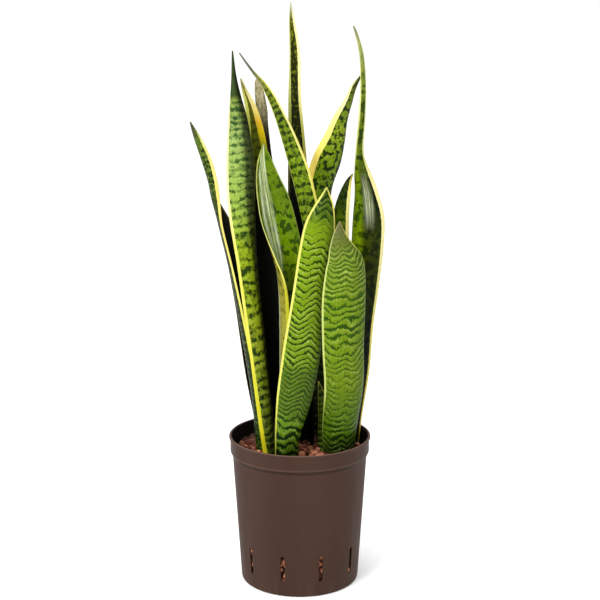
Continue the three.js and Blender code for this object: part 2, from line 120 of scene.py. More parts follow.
LEAVES["leaf_left_tall"] = dict(
    stations=[(-35.5, -27, 172, 26, 45), (-40.5, -28, 215.5, 28, 45), (-51, -27, 313.5, 31, 45),
        (-63, -25, 419, 33, 38), (-70.5, -24, 492.5, 36, 12), (-71.5, -20, 539.5, 36, 8),
        (-74, -14, 586.5, 26.5, 8), (-77, -10, 618, 14, 8), (-79, -7, 641, 6.5, 8),
        (-80.5, -5, 670.5, TIP_WIDTH, 8)],
    minus=[(172, 5.2, (232, 226, 36)), (240, 4.4, (222, 220, 50)), (330, 3.4, (240, 240, 100)),
        (440, 3.4, (246, 246, 124)), (490, 3.6, (252, 244, 186)), (585, 2.8, (250, 242, 196)),
        (612, 1.2, (196, 206, 140)), (622, 0.5, (110, 130, 86)), (671, 0.4, (80, 100, 74))],
    plus=[(172, 0.8, (30, 36, 14)), (220, 0.8, (60, 60, 40)), (232, 1, (160, 136, 124)),
        (262, 1, (130, 110, 90)), (280, 0.8, (40, 50, 20)), (480, 0.9, (60, 74, 20)),
        (610, 1, (110, 124, 50)), (622, 0.6, (60, 84, 50)), (671, 0.4, (60, 80, 56))],
    body=[(172, (62, 84, 18), (22, 38, 8)), (220, (108, 128, 26), (24, 38, 8)),
        (250, (130, 150, 28), (28, 44, 8)), (320, (164, 182, 36), (44, 64, 10)),
        (370, (166, 190, 30), (42, 62, 8)), (440, (160, 190, 34), (42, 66, 10)),
        (478, (164, 198, 76), (56, 88, 26)), (560, (170, 200, 108), (66, 100, 44)),
        (588, (146, 176, 94), (48, 80, 34)), (611, (156, 180, 80), (56, 88, 36)),
        (617, (60, 82, 34), (44, 66, 26)), (671, (54, 72, 32), (38, 56, 24))],
    # Painted shade: the plus part of the blade is painted darker, near black at its edge.
    side=[(-1, 1.05), (-0.15, 1), (0.15, 0.8), (0.36, 0.2), (1, 0.05)],
    zig=[(-1, 0), (-0.3, -1.4), (0.3, 1), (1, 2)],
    periods=[(172, 10), (290, 12), (320, 15), (450, 14), (480, 10), (615, 8)],
    lines=[(172, 0.5, 0.4), (300, 0.5, 0.3), (440, 0.46, 0.3), (480, 0.4, 0.6), (560, 0.4, 0.8),
        (609, 0.5, 0.6), (615, 0, 0), (671, 0, 0)],
    arch=(70, 36, 45), blotch=(0.5, 5), wobble=4,
)
LEAVES["leaf_far_left"] = dict(
    stations=[(-49, -13, 172, 28, -70), (-56, -12, 245, 30, -72), (-70.5, -10, 330.5, 28, -76),
        (-84.5, -8, 405, 26, -82), (-97.5, -6, 462, 24, -82), (-103.5, -5, 490.5, 22, -60),
        (-107.5, -3, 515, 18.5, -45), (-114.5, -1, 540, 15.5, -30), (-124, 1, 563.5, 11, -30),
        (-129, 2, 575.5, 6.5, -30), (-133, 3, 585.5, TIP_WIDTH, -30)],
    minus=[(172, 0.8, (70, 80, 36)), (595, 0.6, (90, 96, 60))],
    plus=[(172, 4.6, (232, 230, 36)), (260, 4.4, (222, 220, 46)), (330, 3.4, (240, 240, 104)),
        (400, 3.2, (244, 240, 134)), (450, 3.2, (248, 232, 140)), (500, 4, (250, 230, 130)),
        (530, 3.6, (250, 242, 150)), (560, 2.4, (240, 240, 150)), (574, 0.9, (160, 170, 84)),
        (584, 0.5, (100, 100, 76))],
    body=[(172, (52, 84, 16), (14, 30, 6)), (300, (40, 60, 14), (12, 22, 5)),
        (480, (52, 74, 16), (12, 24, 6)), (530, (92, 122, 28), (20, 38, 8)),
        (562, (100, 128, 36), (30, 50, 12)), (576, (84, 88, 50), (50, 56, 34)),
        (584, (74, 76, 60), (60, 62, 46))],
    side=[(-1, 0.7), (0, 1), (1, 1)],
    zig=[(-1, 0), (0, 1.5), (1, -1.5)],
    lines=[(172, 0.45, 0.4), (540, 0.45, 0.5), (570, 0.2, 0.1)],
    arch=(70, 30, 40), periods=[(172, 8)], blotch=(0.6, 2.4),
)
LEAVES["leaf_left_short"] = dict(
    stations=[(-42, 18, 172, 26, -150), (-56, 20, 255.5, 28, -160), (-71, 22, 359.5, 25, -170),
        (-81, 23, 410.5, 22, -175), (-89, 24, 448, 18, -180), (-99, 25, 481.5, TIP_WIDTH, -180)],
    minus=[(172, 1.2, (40, 40, 16)), (480, 1.6, (84, 72, 26))],
    plus=[(172, 1.2, (50, 50, 20)), (480, 1.4, (90, 84, 34))],
    # Painted shade: the inner face is painted near black; only the rounded back has the green.
    body=[(172, (4, 5, 2), (2, 3, 1)), (440, (12, 15, 4), (5, 7, 2)),
        (480, (30, 28, 9), (14, 14, 5))],
    zig=[(-1, 0), (0, 2), (1, 0)],
    lines=[(172, 0.4, 0)],
    outer_body=[(172, (50, 72, 14), (18, 34, 6)), (330, (84, 112, 22), (26, 46, 8)),
        (480, (96, 122, 30), (34, 54, 12))],
    periods=[(172, 11)],
)
LEAVES["leaf_left_back"] = dict(
    stations=[(-31, 6, 172, 32, -150), (-35, 10, 310, 32, -155), (-42, 13, 412.5, 30, -160),
        (-47, 15, 487.5, 30, -165), (-52.5, 17, 558.5, 24, -170), (-56, 18, 584, 19, -173),
        (-61, 19, 605, 13.5, -175), (-67, 20, 621, 7.5, -178), (-72, 20, 636.5, TIP_WIDTH, -180)],
    minus=[(172, 1.4, (16, 14, 6)), (530, 2, (40, 34, 12)), (545, 6, (150, 142, 16)),
        (556, 7.4, (196, 184, 18)), (570, 8, (236, 212, 20)), (583, 7.6, (256, 204, 56)),
        (597, 6.4, (270, 250, 140)), (612, 4.6, (270, 262, 190)), (628, 1.4, (200, 200, 130))],
    plus=[(172, 1.2, (20, 20, 8)), (500, 1.8, (84, 92, 26)), (545, 3.6, (120, 136, 40)),
        (575, 4.4, (196, 204, 80)), (605, 4.2, (228, 234, 120)), (618, 3, (220, 226, 120)),
        (630, 1.2, (140, 142, 90))],
    # Painted shade: the inner face is painted near black up to about 480 mm.
    body=[(172, (3, 5, 1), (2, 3, 1)), (480, (8, 12, 3), (4, 6, 2)),
        (540, (90, 102, 6), (46, 54, 3)), (575, (100, 108, 4), (60, 66, 2)),
        (600, (110, 112, 8), (76, 80, 4)), (622, (150, 142, 40), (120, 110, 26)),
        (634, (110, 108, 80), (90, 90, 62))],
    lines=[(172, 0.4, 0)],
    outer_body=[(172, (46, 68, 12), (16, 30, 6)), (330, (88, 118, 20), (26, 46, 8)),
        (540, (118, 148, 24), (40, 64, 10)), (634, (112, 112, 76), (90, 92, 62))],
    arch=(70, 34, 40), periods=[(172, 11)],
)
LEAVES["leaf_dried_tip"] = dict(
    stations=[(-20, 26, 172, 24, 180), (-24, 28, 305.5, 24, 180), (-30, 30, 409, 24, 180),
        (-36, 32, 485.5, 22, 185), (-41, 33, 537.5, 14, 190), (-42.5, 34, 575, 8, 195),
        (-46, 34, 593, 13.5, 195), (-48.5, 34, 609, 13.5, 195), (-50.5, 34, 622, 11, 195),
        (-52.5, 34, 631, 6, 195), (-53.5, 34, 635, TIP_WIDTH, 195)],
    minus=[(172, 1, (24, 20, 10)), (560, 1.2, (40, 34, 16)), (628, 1, (150, 138, 122))],
    plus=[(172, 1, (12, 10, 5)), (560, 1.2, (60, 52, 26)), (590, 1.2, (150, 140, 110)),
        (628, 1, (200, 190, 170))],
    # Painted shade: the inner face is painted near black up to about 500 mm.
    body=[(172, (3, 5, 1), (2, 3, 1)), (500, (8, 8, 3), (4, 5, 2)),
        (565, (34, 26, 10), (16, 14, 5)), (595, (90, 82, 46), (60, 54, 30))],
    side=[(-1, 0.45), (-0.5, 0.7), (0, 1), (1, 1.15)],
    zig=[(-1, 0), (0, 2), (1, 0)],
    lines=[(172, 0.4, 0)],
    dry=[(560, 0, 0.3), (574, 0.4, 0.45), (586, 0.75, 0.7), (597, 0.95, 1), (612, 1, 1.35),
        (628, 1, 1.6)],
    outer_body=[(172, (46, 66, 12), (16, 30, 6)), (400, (84, 108, 22), (26, 44, 8)),
        (540, (78, 84, 28), (34, 40, 14)), (595, (92, 84, 50), (60, 54, 30))],
    arch=(70, 34, 20), periods=[(172, 10)],
)
LEAVES["leaf_centre_left"] = dict(
    stations=[(-14.5, -10, 172, 54, -106), (-14.5, -10, 239, 58, -106),
        (-14.5, -10, 316.5, 60, -106), (-15, -10, 367.5, 61, -107), (-16, -10, 393, 61.5, -114),
        (-17.5, -9, 416.5, 62, -131), (-29.5, -6, 467, 58, -150), (-34.5, -5, 491.5, 50, -155),
        (-40, -4, 516, 36, -160), (-43, -3, 539.5, 20, -165), (-43.5, -3, 560, TIP_WIDTH, -165)],
    minus=[(172, 1, (60, 60, 20)), (400, 1.2, (110, 134, 50)), (520, 1.5, (150, 170, 70)),
        (558, 1, (130, 150, 60))],
    plus=[(172, 4, (60, 60, 16)), (290, 5, (150, 150, 30)), (350, 5, (206, 206, 44)),
        (384, 3.6, (214, 212, 60)), (405, 2.6, (236, 240, 120)), (480, 2.6, (240, 246, 156)),
        (540, 2, (226, 236, 130)), (558, 1, (150, 170, 80))],
    # Painted shade: below about 355 mm the inner face is painted near black.
    body=[(172, (16, 22, 4), (8, 12, 3)), (355, (26, 36, 6), (12, 18, 4)),
        (385, (134, 170, 8), (56, 88, 4)), (410, (150, 190, 6), (70, 106, 3)),
        (450, (128, 170, 5), (56, 88, 3)), (500, (112, 146, 8), (44, 74, 5)),
        (545, (120, 156, 12), (76, 106, 8)), (558, (116, 140, 26), (78, 98, 18))],
    outer_body=[(172, (36, 38, 8), (20, 24, 4)), (260, (120, 118, 26), (86, 84, 12)),
        (320, (186, 184, 76), (140, 136, 30)), (400, (170, 164, 60), (110, 104, 18))],
    side=[(-1, 0.8), (-0.5, 1), (1, 1)],
    zig=[(-1, 2), (-0.4, -1.5), (0.2, 2), (0.8, -1), (1, 0)],
    lines=[(172, 0.3, 0.1), (400, 0.42, 0.2), (545, 0.35, 0.2)],
    streaks_and_sheen=[(-0.1, 0), (-0.04, 0.5), (0.03, 1), (0.09, 0.15), (0.18, 1), (0.24, 0.25),
        (0.34, 0.4), (0.42, 0.2), (0.5, 1), (0.58, 0.8), (0.64, 0.1), (0.7, 0)],
    outer_streaks_and_sheen=[(0.1, 0), (0.3, 0.8), (0.45, 0.2), (0.5, 0)],
    arch=(80, 76, 40), periods=[(172, 14)], blotch=(0.75, 7), jag=4.5, wobble=4,
)
LEAVES["leaf_centre_tall"] = dict(
    stations=[(6.5, 24, 172, 28, 185), (5.5, 28, 297.5, 28, 182), (2.5, 32, 396.5, 28, 180),
        (-1, 36, 483.5, 29, 178), (-3, 39, 540.5, 25, 176), (-4.5, 41, 577, 21, 175),
        (-6, 43, 609, 18, 175), (-5.8, 45, 657.5, 15.5, 175), (-7, 46, 682, 13.2, 175),
        (-9.7, 47, 706, 8, 175), (-11, 48, 727, TIP_WIDTH, 175)],
    minus=[(172, 1, (20, 20, 8)), (500, 1.8, (104, 94, 28)), (540, 3.4, (176, 170, 70)),
        (570, 3.6, (206, 208, 110)), (600, 3.6, (234, 232, 150)), (640, 4, (260, 250, 180)),
        (690, 3.6, (262, 258, 196)), (712, 2.2, (240, 240, 190)), (727, 0.5, (210, 210, 190))],
    plus=[(172, 1, (14, 16, 6)), (480, 1.6, (60, 60, 20)), (540, 3.6, (120, 118, 50)),
        (570, 4, (146, 150, 70)), (600, 3.8, (176, 184, 96)), (625, 3, (206, 214, 130)),
        (650, 1.4, (214, 216, 140)), (700, 1, (214, 218, 140)), (727, 0.4, (200, 200, 170))],
    # Painted shade: the inner face is painted near black up to about 480 mm.
    body=[(172, (3, 5, 1), (2, 3, 1)), (480, (10, 14, 2), (4, 6, 1)),
        (540, (64, 70, 12), (22, 26, 2)), (580, (90, 96, 8), (30, 34, 0)),
        (660, (110, 118, 4), (36, 42, 0)), (690, (116, 126, 6), (50, 56, 0)),
        (708, (128, 136, 30), (70, 76, 8)), (716, (150, 150, 110), (110, 112, 70)),
        (727, (210, 208, 196), (190, 188, 176))],
    zig=[(-1, 0), (0, 1.5), (1, 0)],
    lines=[(172, 0.7, 0), (480, 0.7, 0), (540, 0.66, 0.05), (660, 0.66, 0.05), (700, 0.56, 0.05),
        (715, 0.2, 0), (727, 0, 0)],
    outer_body=[(172, (48, 70, 12), (16, 30, 6)), (400, (92, 122, 20), (26, 46, 8)),
        (600, (104, 134, 22), (32, 54, 8)), (706, (126, 138, 40), (76, 86, 20)),
        (727, (210, 208, 196), (190, 188, 176))],
    arch=(70, 40, 60), periods=[(172, 11)], blotch=(0.9, 4), jag=1.6, wobble=1.6,
)
LEAVES["leaf_leaning_left"] = dict(
    stations=[(33.5, 12, 172, 28, -15), (33.5, 2, 300, 31, -15), (25.5, -14, 415, 30, -18),
        (10.5, -18, 484, 27, -22), (-0.5, -15, 527.5, 26, -22), (-17.5, -8, 576.5, 19, -22),
        (-26.5, -6, 598, 14.5, -22), (-35, -3, 616, 11.5, -22), (-45, 0, 632, 7, -20),
        (-56, 2, 645, 3.6, -20), (-66.5, 4, 659, 2.4, -20), (-72.5, 6, 667.5, TIP_WIDTH, -20)],
    minus=[(172, 1, (40, 50, 20)), (480, 1.2, (130, 150, 50)), (550, 1.8, (214, 226, 130)),
        (600, 2.4, (250, 254, 180)), (622, 2, (240, 246, 170)), (640, 1, (190, 194, 120)),
        (650, 0.5, (120, 120, 100))],
    plus=[(172, 1.6, (70, 66, 20)), (400, 2.6, (216, 206, 60)), (480, 3, (244, 238, 104)),
        (540, 3, (248, 244, 140)), (595, 2.4, (250, 250, 166)), (620, 1.9, (240, 240, 120)),
        (636, 1.4, (206, 206, 70)), (648, 0.6, (130, 130, 92)), (666, 0.4, (110, 110, 98))],
    body=[(172, (16, 24, 4), (7, 12, 3)), (400, (60, 84, 14), (18, 34, 6)),
        (480, (128, 158, 20), (34, 54, 4)), (540, (134, 164, 24), (34, 58, 4)),
        (590, (116, 142, 20), (30, 48, 4)), (622, (124, 140, 30), (60, 76, 10)),
        (636, (130, 134, 76), (92, 96, 50)), (648, (104, 104, 90), (90, 92, 78)),
        (667, (130, 130, 126), (116, 116, 112))],
    side=[(-1, 1), (0.6, 1), (1, 0.9)],
    zig=[(-1, -1), (0, 1), (1, -1)],
    periods=[(172, 12), (540, 12), (580, 8)],
    lines=[(172, 0.5, 0.3), (622, 0.5, 0.3), (640, 0.1, 0)],
    arch=(70, 32, 50), blotch=(0.5, 4), jag=2.2, wobble=2,
)
LEAVES["leaf_leaning_right"] = dict(
    stations=[(13.5, 53, 172, 32.5, 20), (19, 54, 289.5, 37.5, 20), (20.5, 53, 394.5, 40.5, 20),
        (20.5, 49, 446.5, 38.5, 20), (25.2, 43, 501, 39, 20), (35, 37, 535, 41, 20),
        (43.5, 33, 560.5, 31.5, 20), (50.5, 30, 585.5, 22, 22), (60.5, 27, 610, 12.5, 25),
        (66, 26, 625, 8.5, 25), (76, 24, 642, TIP_WIDTH, 25)],
    minus=[(172, 3, (20, 20, 6)), (440, 6, (110, 100, 30)), (490, 7.5, (286, 254, 110)),
        (530, 8, (290, 266, 136)), (560, 7.4, (288, 272, 150)), (588, 6, (280, 274, 170)),
        (606, 4.2, (272, 270, 200)), (622, 2.2, (258, 258, 190)), (637, 0.8, (160, 160, 90))],
    plus=[(172, 0.6, (20, 30, 10)), (637, 0.6, (70, 84, 30))],
    body=[(172, (6, 9, 3), (3, 6, 2)), (440, (50, 70, 8), (14, 26, 3)),
        (490, (124, 164, 10), (32, 54, 4)), (530, (140, 176, 12), (32, 52, 4)),
        (570, (160, 188, 40), (38, 58, 6)), (608, (116, 140, 34), (34, 50, 8)),
        (640, (70, 68, 36), (56, 56, 30))],
    side=[(-1, 1), (0.6, 1), (0.85, 0.5), (1, 0.35)],
    zig=[(-1, 0), (-0.2, -3), (0.3, 3), (1, -2)],
    lines=[(172, 0.45, 0.5), (600, 0.45, 0.6), (625, 0.4, 0.2)],
    periods=[(172, 12)], blotch=(0.7, 5.2), jag=4, wobble=4.5,
)
LEAVES["leaf_right_tall"] = dict(
    stations=[(61.5, 18, 172, 34, -10), (65, 18, 209.5, 35, -10), (71, 18, 268.5, 40, -10),
        (75, 17, 328.5, 40, -12), (79.5, 16, 372.5, 42, -14), (84, 15, 437.5, 46, -15),
        (84.5, 14, 468, 44, -15), (81.5, 14, 498, 33, -15), (77, 14, 520, 24, -15),
        (74, 13, 537.5, 14.5, -12), (73.5, 13, 552, 10.5, -10), (76, 12, 591.5, 9.5, -10),
        (77, 12, 630.5, 8, -10), (74.5, 12, 666, 6, -10), (67.5, 12, 692.5, 3.2, -10),
        (64.5, 12, 699.5, TIP_WIDTH, -10)],
    minus=[(172, 0.8, (40, 50, 16)), (300, 1.4, (110, 120, 30)), (440, 1.5, (120, 142, 30)),
        (500, 1.6, (150, 170, 50)), (535, 2.4, (214, 222, 130)), (600, 3, (236, 242, 160)),
        (650, 1.8, (220, 228, 150)), (690, 0.6, (170, 180, 110))],
    plus=[(172, 3.2, (190, 170, 50)), (250, 3.6, (226, 212, 90)), (330, 3.8, (244, 238, 140)),
        (440, 4.6, (262, 258, 190)), (500, 5.4, (262, 258, 190)), (520, 4.6, (252, 250, 180)),
        (538, 2.4, (226, 230, 140)), (600, 1.8, (220, 230, 150)), (680, 1, (190, 204, 120)),
        (699, 0.4, (140, 146, 100))],
    body=[(172, (36, 54, 8), (12, 22, 4)), (330, (84, 116, 14), (24, 44, 6)),
        (400, (160, 194, 8), (78, 108, 4)), (440, (170, 206, 8), (90, 122, 4)),
        (470, (112, 148, 6), (50, 80, 3)), (515, (124, 152, 12), (54, 82, 5)),
        (538, (112, 138, 14), (46, 68, 5)), (600, (124, 146, 20), (52, 72, 6)),
        (640, (148, 166, 60), (82, 102, 28)), (680, (198, 206, 132), (168, 180, 108)),
        (699, (156, 160, 130), (132, 138, 104))],
    # Painted shade: past the middle the blade is painted near black, less so towards the top.
    side=[(-1, 1.1), (-0.34, 1.05), (-0.2, 0.5), (-0.08, 0.16), (0.6, 0.08), (1, 0.24)],
    zig=[(-1, -1), (-0.4, 2.5), (0.2, -2), (1, 2)],
    periods=[(172, 12), (500, 12), (540, 8)],
    lines=[(172, 0.4, 0.3), (520, 0.4, 0.3), (545, 0.5, 0.4), (630, 0.45, 0.4), (680, 0.1, 0.1)],
    # Painted sheen: over these heights the outer stripes paint a grey-green reflection on the
    # rounded back.
    sheen=[(450, 0), (480, 1), (500, 0.9), (524, 0)],
    outer_streaks_and_sheen=[(-0.2, 0), (-0.02, 0.38), (0.3, 0.44), (0.5, 0)],
    side_share=[(505, 1), (545, 0.3)],
    arch=(70, 45, 70), blotch=(0.7, 8), jag=3.4, wobble=3.2,
)
LEAVES["leaf_right_short"] = dict(
    stations=[(33.5, 32, 172, 24, -10), (38.5, 28, 305.5, 26, -10), (47, 20, 411.5, 29, -15),
        (52.2, 15, 477.5, 20.4, -15), (57.2, 12, 501, 14, -20), (61, 12, 513, 7, -20),
        (65.5, 10, 521, TIP_WIDTH, -20)],
    minus=[(172, 0.8, (20, 24, 10)), (480, 1, (74, 70, 26)), (521, 0.8, (90, 66, 34))],
    plus=[(172, 1.2, (40, 40, 12)), (440, 4.6, (276, 268, 170)), (500, 4.2, (270, 264, 170)),
        (514, 2.4, (220, 214, 110)), (521, 1.2, (160, 144, 70))],
    body=[(172, (10, 18, 3), (5, 9, 2)), (440, (132, 162, 8), (76, 102, 5)),
        (462, (112, 142, 8), (60, 86, 4)), (480, (56, 84, 8), (26, 46, 5)),
        (505, (50, 70, 12), (24, 38, 5)), (521, (60, 56, 24), (40, 40, 16))],
    side=[(-1, 1), (1, 0.8)],
    lines=[(172, 0.45, 0.1)],
    periods=[(172, 10)], blotch=(0.8, 4),
)
LEAVES["leaf_basal"] = dict(
    stations=[(31.5, -7, 172, 20, 0), (31.5, -9, 213, 19, 0), (28.5, -12, 239, 13, 0),
        (23.5, -14, 263.5, TIP_WIDTH, 0)],
    minus=[(172, 1.4, (70, 80, 24)), (240, 1.6, (170, 172, 66)), (263, 1.2, (190, 190, 80))],
    plus=[(172, 1.4, (110, 120, 36)), (240, 1.6, (196, 196, 70)), (263, 1.2, (190, 190, 80))],
    body=[(172, (84, 112, 20), (28, 48, 8)), (240, (96, 124, 22), (34, 56, 10)),
        (263, (60, 80, 16), (30, 46, 8))],
    lines=[(172, 0.4, 0.4)],
    arch=(60, 50, 50), periods=[(172, 8)], blotch=(0.2, 3), jag=2, wobble=2,
)

# What a leaf has where its own entry says nothing.
PLAIN = dict(
    side=[(0, 1)], side_share=[(0, 1)], zig=[(-1, 0), (0, 3), (1, 0)], streaks_and_sheen=[(0, 0)],
    outer_streaks_and_sheen=[(0, 0)], sheen=[(0, 1)], dry=[(0, 0, 1)], arch=(70, 34, 45),
    blotch=(0.4, 4), jag=3, wobble=3,
)

LIGHT = 1.5
RING_PITCH = 2.2  # mm between a blade's cross-sections
STRIPS = 26  # across one face of a blade
PATH_STEPS = 1200
SHARP = math.radians(38)  # an edge steeper than this isn't smoothed

POT = dict(
    height=190, lip_radius=90, lip_width=3.5, collar_radius=88.4,
    collar_bottom=170, shoulder_bottom=163, shoulder_radius=85.4, foot_radius=75.2,
    wall=1.7, floor=2,
)
SLOTS = dict(count=10, first_angle=20, width=5, bottom=20, top=54, wall_radius=77)
SLOT_ANGLES = [SLOTS["first_angle"] + 360 / SLOTS["count"] * k for k in range(SLOTS["count"])]
FILL_TOP = 168
BED_GAP = 5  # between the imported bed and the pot's wall
PEBBLES = dict(top=430, size=(3.6, 6.6), slot_rows=8, slot_size=(2.8, 5), shapes=7, seed=5)

CAMERA = dict(distance=1.700, aim_height=0.3644, aside=0.00034, elevation=12.25, lens=81.78,
              sensor=36)


# ---------- Node helpers ----------

def linear(rgb):
    """An sRGB colour of 0..255 numbers as a linear RGBA."""
    c = np.asarray(rgb, float) / 255
    c = np.where(c <= 0.04045, c / 12.92, ((c + 0.055) / 1.055) ** 2.4)
    return (*c, 1.0)


class Nodes:
    """A material's nodes. Inputs are sockets, numbers or sRGB colours of 0..255."""

    def __init__(self, name):
        self.material = bpy.data.materials.new(name)
        self.material.use_nodes = True
        self.tree = self.material.node_tree
        self.shader = self.tree.nodes["Principled BSDF"]

    def finish(self, colour, roughness, specular=0.5):
        self.put(self.shader.inputs["Base Color"], colour)
        self.put(self.shader.inputs["Roughness"], roughness)
        self.shader.inputs["Specular IOR Level"].default_value = specular
        return self.material

    def put(self, socket, value):
        if isinstance(value, bpy.types.NodeSocket):
            self.tree.links.new(value, socket)
        elif isinstance(value, tuple):
            socket.default_value = linear(value)
        else:
            socket.default_value = value

    def node(self, kind, **settings):
        made = self.tree.nodes.new(kind)
        for key, value in settings.items():
            setattr(made, key, value)
        return made

    def attribute(self, name, output="Vector"):
        return self.node("ShaderNodeAttribute", attribute_name=name).outputs[output]

    def spot(self):
        return self.node("ShaderNodeTexCoord").outputs["Object"]

    def math(self, operation, a, b=0.0, c=0.0):
        made = self.node("ShaderNodeMath", operation=operation)
        for socket, value in zip(made.inputs, (a, b, c)):
            self.put(socket, value)
        return made.outputs[0]

    def times(self, a, b):
        return self.math("MULTIPLY", a, b)

    def shaken(self, noise, amount, value):
        """A value, moved up and down by a noise of 0..1."""
        return self.math("MULTIPLY_ADD", self.math("SUBTRACT", noise, 0.5), amount, value)

    def parts(self, vector):
        made = self.node("ShaderNodeSeparateXYZ")
        self.put(made.inputs[0], vector)
        return made.outputs

    def scaled(self, vector, scale):
        made = self.node("ShaderNodeVectorMath", operation="MULTIPLY")
        self.put(made.inputs[0], vector)
        made.inputs[1].default_value = scale
        return made.outputs[0]

    def noise(self, vector, detail, roughness=0.5, scale=1.0):
        made = self.node("ShaderNodeTexNoise")
        self.put(made.inputs["Vector"], vector)
        made.inputs["Scale"].default_value = scale
        made.inputs["Detail"].default_value = detail
        made.inputs["Roughness"].default_value = roughness
        return made.outputs["Fac"]

    def step(self, value, low, high, to_low=0.0, to_high=1.0):
        made = self.node("ShaderNodeMapRange", interpolation_type="SMOOTHSTEP")
        for key, item in zip(("Value", "From Min", "From Max", "To Min", "To Max"),
                             (value, low, high, to_low, to_high)):
            self.put(made.inputs[key], item)
        return made.outputs[0]

    def mix(self, share, a, b, blend="MIX"):
        made = self.node("ShaderNodeMix", data_type="RGBA", blend_type=blend)
        self.put(made.inputs["Factor"], share)
        self.put(made.inputs[6], a)
        self.put(made.inputs[7], b)
        return made.outputs[2]

    def grey(self, value):
        made = self.node("ShaderNodeCombineColor")
        for socket in made.inputs:
            self.put(socket, value)
        return made.outputs[0]

    def bump(self, height, strength, distance):
        made = self.node("ShaderNodeBump")
        made.inputs["Strength"].default_value = strength
        made.inputs["Distance"].default_value = distance
        self.put(made.inputs["Height"], height)
        self.put(self.shader.inputs["Normal"], made.outputs[0])


# ---------- Mesh helpers ----------

def placed(name, data):
    """A mesh, light or camera as a new object in the scene."""
    made = bpy.data.objects.new(name, data)
    bpy.context.scene.collection.objects.link(made)
    return made


def mesh_of(name, points, faces):
    """A smooth mesh of points in mm."""
    mesh = bpy.data.meshes.new(name)
    mesh.from_pydata((points * MM).tolist(), [], faces)
    mesh.polygons.foreach_set("use_smooth", [True] * len(mesh.polygons))
    return mesh


def store(mesh, name, vectors):
    layer = mesh.attributes.new(name, "FLOAT_VECTOR", "POINT")
    layer.data.foreach_set("vector", vectors.astype(np.float32).ravel())


def turned_rows(bm, profile, angles):
    """Points around the axis: a row for each radius and height, at angles in degrees."""
    rows = []
    for r, z in profile:
        if r == 0:
            rows.append([bm.verts.new((0, 0, z * MM))] * len(angles))
        else:
            rows.append([bm.verts.new((r * MM * math.sin(math.radians(t)),
                                       -r * MM * math.cos(math.radians(t)), z * MM))
                         for t in angles])
    return rows


def panel(bm, lower, upper, j):
    """The face between two rows, from point j to the next; on the axis the points are one."""
    k = (j + 1) % len(lower)
    bm.faces.new(list(dict.fromkeys([lower[j], lower[k], upper[k], upper[j]])))


def smooth_mesh(bm, name):
    """A bmesh as a mesh, smooth but for its sharp edges."""
    bmesh.ops.recalc_face_normals(bm, faces=bm.faces)
    for face in bm.faces:
        face.smooth = True
    mesh = bpy.data.meshes.new(name)
    bm.to_mesh(mesh)
    bm.free()
    mesh.set_sharp_from_angle(angle=SHARP)
    return mesh


# ---------- Leaf geometry ----------

def spline(points, at, centripetal):
    """A Catmull-Rom curve through points, and its slope, at parameters 0..1."""
    points = np.asarray(points, float)
    whole = np.vstack([2 * points[0] - points[1], points, 2 * points[-1] - points[-2]])
    spans = len(points) - 1
    place = np.clip(at, 0, 1) * spans
    i = np.minimum(place.astype(int), spans - 1)
    w = (place - i)[:, None]
    p0, p1, p2, p3 = (whole[i + k] for k in range(4))
    if centripetal:
        d0, d1, d2 = (np.linalg.norm(b - a, axis=1)[:, None] ** 0.5 + 1e-9
                      for a, b in ((p0, p1), (p1, p2), (p2, p3)))
        t1 = ((p1 - p0) / d0 - (p2 - p0) / (d0 + d1) + (p2 - p1) / d1) * d1
        t2 = ((p2 - p1) / d1 - (p3 - p1) / (d1 + d2) + (p3 - p2) / d2) * d1
    else:
        t1 = (p2 - p0) / 2
        t2 = (p3 - p1) / 2
    c2 = 3 * (p2 - p1) - 2 * t1 - t2
    c3 = 2 * (p1 - p2) + t1 + t2
    return p1 + t1 * w + c2 * w**2 + c3 * w**3, t1 + 2 * c2 * w + 3 * c3 * w**2


def blade_arch(arch, along):
    foot, middle, tip = arch
    low = foot + (middle - foot) * np.sqrt(np.clip(along * 2, 0, 1))
    high = middle + (tip - middle) * np.clip(along * 2 - 1, 0, 1) ** 2
    return np.radians(np.where(along < 0.5, low, high))


def blade_thickness(along):
    middle = BASE_THICKNESS + (MID_THICKNESS - BASE_THICKNESS) * np.clip(along * 2, 0, 1)
    tip = np.clip((along - 0.8) / 0.2, 0, 1)
    tip = tip * tip * (3 - 2 * tip)
    return middle + (EDGE_THICKNESS + 0.3 - middle) * tip


def ramp(rows, at, column=1):
    """Straight lines between rows of (place, value, ...), read at places; colours as linear."""
    places = [r[0] for r in rows]
    values = [r[column] for r in rows]
    if isinstance(values[0], tuple):
        values = np.array([linear(v)[:3] for v in values]) / LIGHT
        return np.stack([np.interp(at, places, values[:, k]) for k in range(3)], 1)
    return np.interp(at, places, values)


